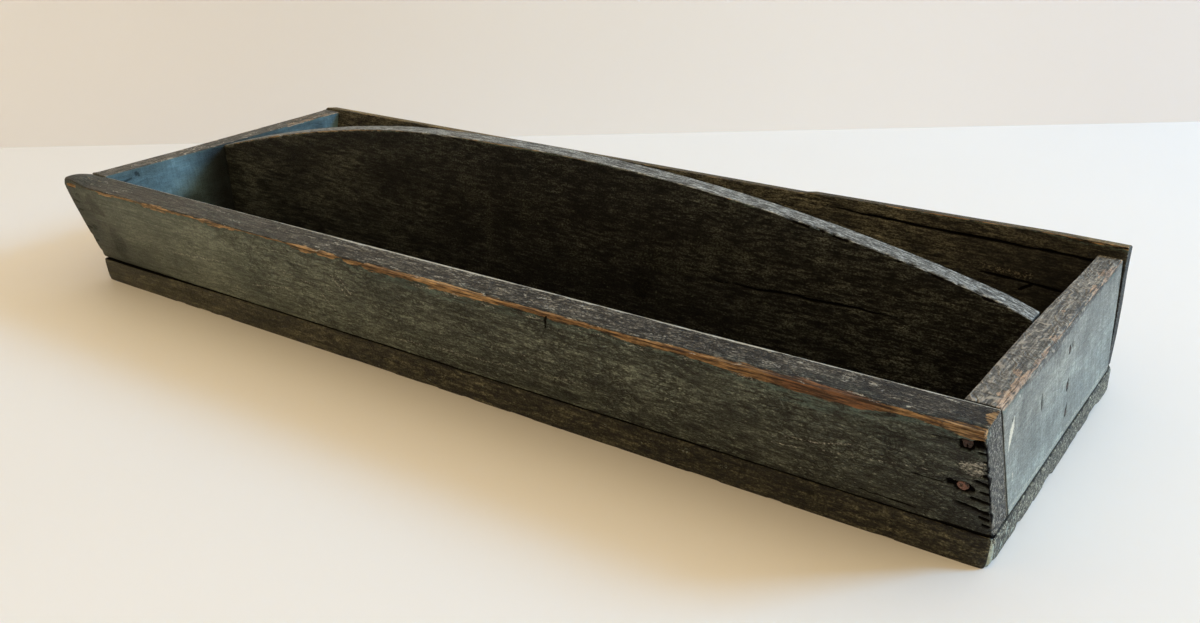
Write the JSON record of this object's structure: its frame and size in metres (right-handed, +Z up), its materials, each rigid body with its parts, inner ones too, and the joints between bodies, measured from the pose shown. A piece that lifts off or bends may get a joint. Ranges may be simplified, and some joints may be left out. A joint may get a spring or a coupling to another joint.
{
  "type": "knife box",
  "caption": "Long open wooden tray with splayed side boards, leaning ends and a lengthwise arched divider, butted and nailed together, for table knives and cutlery.",
  "frame": {"origin": "on the underside of the bottom board, in the middle of the box's overall outline", "axes": "+X along the box to its right end, +Y from the front board to the back board, +Z up"},
  "size_m": [0.5044, 0.1986, 0.091],
  "materials": {
    "front_paint": "worn dark grey-green paint over softwood, bare along the arrises",
    "back_paint": "worn dark olive-brown paint over softwood",
    "end_paint": "worn and faded blue-grey paint over softwood",
    "divider_paint": "nearly black old paint, rubbed grey along the arched top",
    "bottom_paint": "worn brown-olive paint over softwood",
    "rusty_iron": "dark rust"
  },
  "bodies": {
    "root": {"bottom_board": "bottom_paint", "front_board": "front_paint", "back_board": "back_paint", "left_end_board": "end_paint", "right_end_board": "end_paint", "divider": "divider_paint", "front_left_corner_nails": "rusty_iron", "front_right_corner_nails": "rusty_iron", "back_left_corner_nails": "rusty_iron", "back_right_corner_nails": "rusty_iron", "left_divider_brads": "rusty_iron", "right_divider_brads": "rusty_iron", "bottom_front_nails": "rusty_iron", "bottom_back_nails": "rusty_iron", "bottom_left_end_nails": "rusty_iron", "bottom_right_end_nails": "rusty_iron", "bottom_divider_nails": "rusty_iron"}
  },
  "joints": []
}
